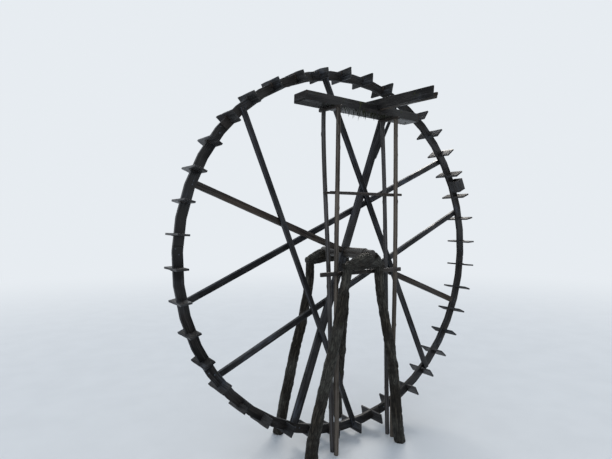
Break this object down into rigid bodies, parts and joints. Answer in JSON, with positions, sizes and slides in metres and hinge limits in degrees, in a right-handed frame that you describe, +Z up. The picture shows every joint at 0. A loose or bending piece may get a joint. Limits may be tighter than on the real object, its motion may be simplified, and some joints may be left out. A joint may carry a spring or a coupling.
{
  "type": "water-lifting wheel",
  "caption": "Timber water wheel with paddle boards, turning on crooked trunk bents beside a pole tower with a plank trough and outlet gutter.",
  "frame": {"origin": "on the floor under the middle of the whole object's box", "axes": "+Z up, +Y along the axle from the outlet's side to the far side, +X to the right seen from the outlet"},
  "size_m": [4.997, 2.0064, 5.0585],
  "materials": {
    "rim_timber": "wet weathered hardwood plank, dark with water, satin",
    "board_timber": "wet sawn board, dark brown, satin",
    "arm_timber": "wet weathered beam, dark grey brown, satin",
    "axle_timber": "peeled log, black brown, satin",
    "trunk_bark": "rough bark on a crooked trunk, matt",
    "pole_wood": "peeled thin pole, red brown, matt",
    "trough_plank": "wet plank with moss at its edges, satin",
    "gutter_log": "hollowed log, wet and dark, satin"
  },
  "bodies": {
    "frame": {"pole_far_left": "pole_wood", "pole_near_left": "pole_wood", "pole_far_right": "pole_wood", "pole_near_right": "pole_wood", "tie_upper_far": "pole_wood", "tie_upper_near": "pole_wood", "tie_lower": "pole_wood", "stick_left": "pole_wood", "stick_right": "pole_wood", "near_leg_left": "trunk_bark", "near_leg_right": "trunk_bark", "far_leg_left": "trunk_bark", "far_leg_right": "trunk_bark", "near_crown": "trunk_bark", "far_crown": "trunk_bark", "trough_floor": "trough_plank", "trough_near_wall": "trough_plank", "trough_far_wall": "trough_plank", "trough_left_end": "trough_plank", "trough_right_end": "trough_plank", "outlet_board": "trough_plank", "outlet_gutter": "gutter_log"},
    "wheel": {"axle": "axle_timber", "lift_box": "board_timber", "arm_near_left": "arm_timber", "arm_near_right": "arm_timber", "arm_far_upper": "arm_timber", "arm_far_lower": "arm_timber", "arm_cross_rising": "arm_timber", "arm_cross_level": "arm_timber", "arm_strut": "arm_timber", "rim_felloe_01": "rim_timber", "rim_felloe_02": "rim_timber", "rim_felloe_03": "rim_timber", "rim_felloe_04": "rim_timber", "rim_felloe_05": "rim_timber", "rim_felloe_06": "rim_timber", "rim_felloe_07": "rim_timber", "rim_felloe_08": "rim_timber", "rim_felloe_09": "rim_timber", "rim_felloe_10": "rim_timber", "paddle_boards_1": "board_timber", "paddle_boards_2": "board_timber", "paddle_boards_3": "board_timber", "paddle_boards_4": "board_timber"}
  },
  "joints": [
    {"name": "wheel_spin", "type": "hinge", "parent": "frame", "child": "wheel", "pos_m": [0, 0.35122, 2.56], "axis": [0, -1, 0], "continuous": true}
  ]
}
